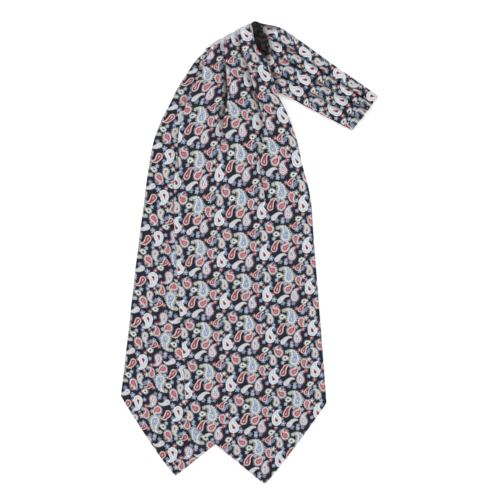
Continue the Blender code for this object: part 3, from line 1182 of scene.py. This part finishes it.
@dataclass(frozen=True)
class PaisleyPrint:
    """The print: a small repeat of curled teardrops and flowers on a blue-black ground.

    Sizes are in millimetres, and reaches and starts are shares of a motif's own width. A flower's
    edge runs from petal_root in its gaps out by petal_depth.
    """

    wobble: float = 0.09
    wobble_size: float = 1.4
    petal_pitch: float = 2.1
    petal_reach: float = 0.5
    petal_start: float = 0.15
    petal_gap: float = 0.5
    petal_root: float = 0.48
    petal_depth: float = 0.62
    wave_middle: float = 0.6
    taper: float = 0.58
    hook: float = 2.6
    least_rise: float = 0.1

    def scaled(self, sketch: Sketch, inwards: bpy.types.NodeSocket) -> bpy.types.NodeSocket:
        """Inwards on the scale of the colour ramps, which starts at the petals' tips."""
        scale = 1.0 + self.petal_reach
        return sketch.math("MULTIPLY_ADD", inwards, 1.0 / scale, self.petal_reach / scale)

    def motif_place(
        self, sketch: Sketch, cell: bpy.types.NodeSocket, motif: Boteh | Blossom
    ) -> bpy.types.NodeSocket:
        """Distance from a motif's own place in the nearest repeat.

        Args:
            sketch: The print's sketch.
            cell: Place on the cloth, counted in repeats.
            motif: The motif.

        Returns:
            The distance across and along, in millimetres.
        """
        corner = (motif.across / REPEAT_ACROSS - 0.5, motif.along / REPEAT_ALONG - 0.5, 0.0)
        nearest = sketch.vector("FRACTION", sketch.vector("SUBTRACT", cell, corner))
        return sketch.vector(
            "MULTIPLY_ADD",
            nearest,
            (REPEAT_ACROSS, REPEAT_ALONG, 0.0),
            (-REPEAT_ACROSS / 2, -REPEAT_ALONG / 2, 0.0),
        )

    def boteh_group(self) -> bpy.types.NodeTree:
        """Group for a teardrop: how far in from its outline a place lies, and where it is drawn.

        Inwards runs from 0 at the petals' tips to 1 at the middle, with the outline at a third.
        """
        tree, sketch, given, result = new_group(
            "Curled teardrop",
            {"Place": "Vector", "Turn": "Float", "Body": "Float", "Tail": "Float", "Lean": "Float",
             "Curl": "Float", "Scallop": "Float", "Wobble": "Float"},
            {"Inwards": "Float", "Drawn": "Float"},
        )
        away = sketch.math("DIVIDE", sketch.vector("LENGTH", given["Place"]), given["Tail"])
        hook = sketch.math("MULTIPLY", sketch.math("POWER", away, self.hook), given["Curl"])
        turned = sketch.add("ShaderNodeVectorRotate", rotation_type="Z_AXIS")
        sketch.feed(turned.inputs["Vector"], given["Place"])
        sketch.feed(turned.inputs["Angle"], sketch.math("ADD", given["Turn"], hook))
        x, y = sketch.parts(turned.outputs[0])
        side = sketch.math("ABSOLUTE", x)
        leaned = sketch.math("SUBTRACT", y, sketch.math("MULTIPLY", side, given["Lean"]))
        share = sketch.math("DIVIDE", leaned, given["Tail"], clamp=True)
        spine = sketch.math("MULTIPLY", share, given["Tail"])
        off_spine = sketch.math("SUBTRACT", y, spine)
        reach = sketch.vector("LENGTH", sketch.joined(side, off_spine))
        left = sketch.math("MULTIPLY_ADD", share, -self.taper, 1.0)
        radius = sketch.math("MULTIPLY", left, given["Body"])
        inwards = sketch.math("DIVIDE", sketch.math("SUBTRACT", radius, reach), given["Body"])
        angle = sketch.math("ARCTAN2", side, off_spine)
        edge_run = sketch.math("SUBTRACT", spine, sketch.math("MULTIPLY", angle, given["Body"]))
        petal_turn = sketch.math("MULTIPLY", edge_run, math.pi / self.petal_pitch)
        lobes = sketch.math("ABSOLUTE", sketch.math("SINE", petal_turn))
        waves = sketch.math("SUBTRACT", lobes, self.wave_middle)
        waves = sketch.math("MULTIPLY", waves, given["Scallop"])
        inwards = sketch.math("ADD", sketch.math("ADD", inwards, waves), given["Wobble"])
        petal = sketch.math("GREATER_THAN", lobes, self.petal_gap)
        body = sketch.math("GREATER_THAN", inwards, 0.0)
        sketch.feed(result["Drawn"], sketch.math("MAXIMUM", petal, body))
        sketch.feed(result["Inwards"], self.scaled(sketch, inwards))
        return tree

    def blossom_group(self) -> bpy.types.NodeTree:
        """Group for a flower: how far in from its petals' edge a place lies, on the same scale."""
        tree, sketch, given, result = new_group(
            "Blossom",
            {"Place": "Vector", "Radius": "Float", "Petals": "Float", "Wobble": "Float"},
            {"Inwards": "Float"},
        )
        x, y = sketch.parts(given["Place"])
        angle = sketch.math("MULTIPLY", sketch.math("ARCTAN2", y, x), given["Petals"])
        petal = sketch.math("ABSOLUTE", sketch.math("COSINE", sketch.math("MULTIPLY", angle, 0.5)))
        edge = sketch.math("MULTIPLY_ADD", petal, self.petal_depth, self.petal_root)
        radius = sketch.math("MULTIPLY", edge, given["Radius"])
        reach = sketch.vector("LENGTH", sketch.joined(x, y))
        inwards = sketch.math("SUBTRACT", 1.0, sketch.math("DIVIDE", reach, radius))
        inwards = sketch.math("ADD", inwards, given["Wobble"])
        sketch.feed(result["Inwards"], self.scaled(sketch, inwards))
        return tree

    def stops(self, colouring: Colouring) -> list[tuple[float, Sequence[float]]]:
        """Steps of a motif's colour ramp, with nothing drawn outside its outline but its petals."""
        steps, petals = colouring.value
        scale = 1.0 + self.petal_reach
        stops: list[tuple[float, Sequence[float]]] = [(0.0, (*Dye.GROUND.value, 0.0))]
        if petals:
            stops.append((self.petal_start, (*petals.value, 1.0)))
        for share, dye in steps:
            stops.append(((share + self.petal_reach) / scale, (*dye.value, 1.0)))
        return stops

    def build(self) -> bpy.types.NodeTree:
        """Group for the whole print: cloth coordinates in metres in, colour out."""
        boteh, blossom = self.boteh_group(), self.blossom_group()
        tree, sketch, given, result = new_group(
            "Paisley print", {"Cloth": "Vector"}, {"Colour": "Color"}
        )
        across, along = sketch.parts(given["Cloth"])
        sheared = sketch.math("MULTIPLY_ADD", across, -REPEAT_SKEW, along)
        cell = sketch.joined(
            sketch.math("MULTIPLY", across, MILLIMETRES / REPEAT_ACROSS),
            sketch.math("MULTIPLY", sheared, MILLIMETRES / REPEAT_ALONG),
        )
        grain = sketch.add("ShaderNodeTexNoise", noise_dimensions="2D")
        sketch.feed(grain.inputs["Vector"], given["Cloth"])
        sketch.feed(grain.inputs["Scale"], MILLIMETRES / self.wobble_size)
        sketch.feed(grain.inputs["Detail"], 0.0)
        wobble = sketch.math("MULTIPLY_ADD", grain.outputs[0], 2 * self.wobble, -self.wobble)
        colour: Fed = (*Dye.GROUND.value, 1.0)
        for motif in REPEAT:
            place = self.motif_place(sketch, cell, motif)
            node = sketch.add("ShaderNodeGroup")
            if isinstance(motif, Boteh):
                node.node_tree = boteh
                lean = self.taper * motif.body / motif.tail
                rise = math.sqrt(max(1 - lean * lean, self.least_rise))
                values = {
                    "Turn": math.radians(motif.turn), "Body": motif.body, "Tail": motif.tail,
                    "Lean": lean / rise, "Curl": motif.curl, "Scallop": motif.scallop,
                }
            else:
                node.node_tree = blossom
                values = {"Radius": motif.radius, "Petals": float(motif.petals)}
            for name, value in {**values, "Place": place, "Wobble": wobble}.items():
                sketch.feed(node.inputs[name], value)
            ramp = sketch.ramp(node.outputs["Inwards"], self.stops(motif.colouring))
            drawn = ramp.outputs["Alpha"]
            if isinstance(motif, Boteh):
                drawn = sketch.math("MULTIPLY", drawn, node.outputs["Drawn"])
            colour = sketch.mix(drawn, colour, ramp.outputs["Color"])
        sketch.feed(result["Colour"], colour)
        return tree


@dataclass(frozen=True)
class TwillWeave:
    """The weave: fine slanting ribs, far smaller than the print, and slightly uneven threads."""

    rib: float = 0.0005
    thread_share: float = 0.3
    height_share: float = 0.35
    middle: float = 0.5
    slubs_across: float = 900.0
    slubs_along: float = 90.0
    slub_detail: float = 2.0

    def build(self) -> bpy.types.NodeTree:
        """Group for the weave: cloth coordinates in metres in, height and tone out."""
        tree, sketch, given, result = new_group(
            "Twill weave", {"Cloth": "Vector"}, {"Height": "Float", "Tone": "Float"}
        )
        across, along = sketch.parts(given["Cloth"])
        slant = sketch.math("MULTIPLY", sketch.math("ADD", across, along), 2 * math.pi / self.rib)
        rib = sketch.math("SINE", slant)
        thread = sketch.math("SINE", sketch.math("MULTIPLY", along, 4 * math.pi / self.rib))
        crossed = sketch.math("MULTIPLY_ADD", thread, self.thread_share, rib)
        height = sketch.math("MULTIPLY_ADD", crossed, self.height_share, self.middle)
        slub = sketch.add("ShaderNodeTexNoise", noise_dimensions="2D")
        slubs = (self.slubs_across, self.slubs_along, 0.0)
        stretched = sketch.vector("MULTIPLY", given["Cloth"], slubs)
        sketch.feed(slub.inputs["Vector"], stretched)
        sketch.feed(slub.inputs["Scale"], 1.0)
        sketch.feed(slub.inputs["Detail"], self.slub_detail)
        sketch.feed(result["Height"], height)
        sketch.feed(result["Tone"], slub.outputs[0])
        return tree


@dataclass(frozen=True)
class PrintedSilk:
    """Doubled silk twill printed on both sides: soft gloss, fine ribs and painted shade in its
    folds.

    Painted shade multiplies the print by deep, and a painted highlight mixes it towards pale.
    """

    roughness: float = 0.42
    sheen: float = 0.08
    sheen_roughness: float = 0.30
    specular: float = 0.15
    fold_shade: float = 0.95
    # Colour that the painted shade multiplies the print towards
    deep: tuple[float, float, float, float] = (0.060, 0.048, 0.043, 1.0)
    # Colour of the painted highlight
    pale: tuple[float, float, float, float] = (0.47, 0.48, 0.50, 1.0)
    tone_swing: float = 0.24
    rough_swing: float = 0.16
    bump_strength: float = 0.35
    bump_height: float = 0.00006

    def build(self) -> bpy.types.Material:
        """Make the material."""
        material = bpy.data.materials.new(MATERIAL_SLOT)
        material.use_nodes = True
        sketch = Sketch(material.node_tree)
        shader = material.node_tree.nodes["Principled BSDF"]
        cloth = sketch.add("ShaderNodeUVMap", uv_map=CLOTH_MAP).outputs[0]
        printed = sketch.add("ShaderNodeGroup", node_tree=PaisleyPrint().build())
        weave = sketch.add("ShaderNodeGroup", node_tree=TwillWeave().build())
        sketch.feed(printed.inputs["Cloth"], cloth)
        sketch.feed(weave.inputs["Cloth"], cloth)
        tone = sketch.math(
            "MULTIPLY_ADD", weave.outputs["Tone"], self.tone_swing, 1.0 - self.tone_swing / 2
        )
        toned = sketch.mix(1.0, printed.outputs["Colour"], sketch.grey(tone), "MULTIPLY")
        # Painted shade in the folds and next to the front blade
        recess = sketch.add("ShaderNodeAttribute", attribute_name=PAINTED_SHADE).outputs["Fac"]
        shade = sketch.math("MULTIPLY", recess, self.fold_shade, clamp=True)
        shaded = sketch.mix(shade, toned, self.deep, "MULTIPLY")
        # Painted highlight on the ridge's crown and the front's right edge
        lustre = sketch.add("ShaderNodeAttribute", attribute_name=PAINTED_SHEEN).outputs["Fac"]
        sketch.feed(shader.inputs["Base Color"], sketch.mix(lustre, shaded, self.pale))
        least = self.roughness - self.rough_swing / 2
        rough = sketch.math("MULTIPLY_ADD", weave.outputs["Tone"], self.rough_swing, least)
        sketch.feed(shader.inputs["Roughness"], rough)
        shader.inputs["Specular IOR Level"].default_value = self.specular
        shader.inputs["Sheen Weight"].default_value = self.sheen
        shader.inputs["Sheen Roughness"].default_value = self.sheen_roughness
        bump = sketch.add("ShaderNodeBump")
        bump.inputs["Strength"].default_value = self.bump_strength
        bump.inputs["Distance"].default_value = self.bump_height
        sketch.feed(bump.inputs["Height"], weave.outputs["Height"])
        sketch.feed(shader.inputs["Normal"], bump.outputs["Normal"])
        return material


class Softbox(NamedTuple):
    """A square soft light: its name, where it hangs, the length of its side and its watts."""

    name: str
    place: tuple[float, float, float]
    size: float
    power: float


@dataclass(frozen=True)
class Studio:
    """The pale lit table, the soft lights and the camera straight above."""

    photo_width: float = 0.530
    centre_x: float = 0.00196
    centre_y: float = 0.00358
    lens: float = 150.0
    sensor: float = 36.0
    table_size: float = 6.0
    table_colour: tuple[float, float, float, float] = (0.97, 0.97, 0.97, 1.0)
    table_roughness: float = 0.7
    table_specular: float = 0.2
    table_glow: float = 0.25
    sky: float = 0.52
    softboxes: tuple[Softbox, ...] = (
        Softbox("left_softbox", (-1.5, 0.4, 1.3), 1.2, 11.5),
        Softbox("right_softbox", (1.5, 0.2, 1.3), 1.2, 8.0),
        Softbox("far_softbox", (-0.2, 1.6, 1.3), 1.2, 11.5),
        Softbox("near_softbox", (0.0, -1.6, 1.4), 1.2, 6.0),
    )

    def build_table(self) -> bpy.types.Object:
        """Make the table top."""
        shape = bmesh.new()
        bmesh.ops.create_grid(shape, x_segments=1, y_segments=1, size=self.table_size / 2)
        mesh = bpy.data.meshes.new("table_top")
        shape.to_mesh(mesh)
        shape.free()
        table = bpy.data.objects.new("table_top", mesh)
        bpy.context.scene.collection.objects.link(table)
        material = bpy.data.materials.new("pale_table")
        material.use_nodes = True
        shader = material.node_tree.nodes["Principled BSDF"]
        shader.inputs["Base Color"].default_value = self.table_colour
        shader.inputs["Roughness"].default_value = self.table_roughness
        shader.inputs["Specular IOR Level"].default_value = self.table_specular
        shader.inputs["Emission Color"].default_value = (1.0, 1.0, 1.0, 1.0)
        shader.inputs["Emission Strength"].default_value = self.table_glow
        mesh.materials.append(material)
        return table

    def hang(self, softbox: Softbox) -> None:
        """Hang a soft light so that it faces the cravat."""
        lamp = bpy.data.lights.new(softbox.name, "AREA")
        lamp.shape = "SQUARE"
        lamp.size = softbox.size
        lamp.energy = softbox.power
        light = bpy.data.objects.new(softbox.name, lamp)
        light.location = softbox.place
        light.rotation_euler = (-Vector(softbox.place)).to_track_quat("-Z", "Y").to_euler()
        bpy.context.scene.collection.objects.link(light)

    def build_lights(self) -> None:
        """Make the soft room light and the four large soft lights."""
        world = bpy.data.worlds.new("Soft room")
        world.use_nodes = True
        background = world.node_tree.nodes["Background"]
        background.inputs["Color"].default_value = (1.0, 1.0, 1.0, 1.0)
        background.inputs["Strength"].default_value = self.sky
        bpy.context.scene.world = world
        for softbox in self.softboxes:
            self.hang(softbox)
        bpy.context.scene.view_settings.view_transform = "Standard"

    def build_camera(self) -> None:
        """Set the camera straight above, as far off as frames what the photograph shows."""
        lens = bpy.data.cameras.new("camera")
        lens.lens = self.lens
        lens.sensor_width = self.sensor
        camera = bpy.data.objects.new("camera", lens)
        distance = self.photo_width * self.lens / self.sensor
        camera.location = (self.centre_x, self.centre_y, distance)
        bpy.context.scene.collection.objects.link(camera)
        bpy.context.scene.camera = camera


def blade_area(length: float) -> float:
    """Flat area of a blade of that length from its point, at the strip's whole width."""
    return STRIP_WIDTH * (length - POINT_DEPTH / 2)


def main() -> None:
    """Build the cravat round its frame, light it and set the camera."""
    logging.basicConfig(level=logging.INFO, format="%(name)s: %(message)s")
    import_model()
    studio = Studio()
    studio.build_table()
    studio.build_lights()
    studio.build_camera()
    silk = PrintedSilk().build()
    band_flat = (STRIP_WIDTH, BAND_LENGTH)
    neckband = Neckband(
        upper=ClothSheet(
            "neckband_upper_silk", "neckband_upper", band_flat,
            BAND_AREA_SHARE * STRIP_WIDTH * BAND_LENGTH, "folded", ("neckband_lower_silk",),
            PrintPhase(-0.0030, -0.0123),
        ),
        lower=ClothSheet(
            "neckband_lower_silk", "neckband_lower", (BAND_LAID_WIDTH, BAND_LENGTH),
            BAND_LAID_WIDTH * BAND_LENGTH, "laid", ("table_top",), PrintPhase(0.02, 0.01),
            wall=0.0018, edge_round=0.0005,
        ),
        pleating=Pleating(
            fold_radius=0.0009, drop_length=0.0060, groove_shade_width=0.0035, full_puff=0.0004,
            shares=(0.35, 0.35, 0.35),
        ),
    )
    neckband.build_lower(silk)
    neckband.build_upper(silk)
    back = BackBlade(
        ClothSheet(
            "back_blade_silk", "back_blade", (STRIP_WIDTH, BACK_LENGTH), blade_area(BACK_LENGTH),
            "laid", ("table_top", "neckband_upper_silk"),
            PrintPhase(0.11895, 1.2449, turned=True, slant=0.19),
        )
    )
    back.build(silk)
    front = FrontBlade(
        ClothSheet(
            "front_blade_silk", "front_blade", (STRIP_WIDTH, FRONT_LENGTH),
            blade_area(FRONT_LENGTH), "gathered", ("back_blade_silk", "table_top"),
            PrintPhase(0.0055, 0.0706, ease=0.09, ease_from=0.21),
        ),
        Pleating(),
    )
    front.build(silk)


if __name__ == "__main__":
    main()
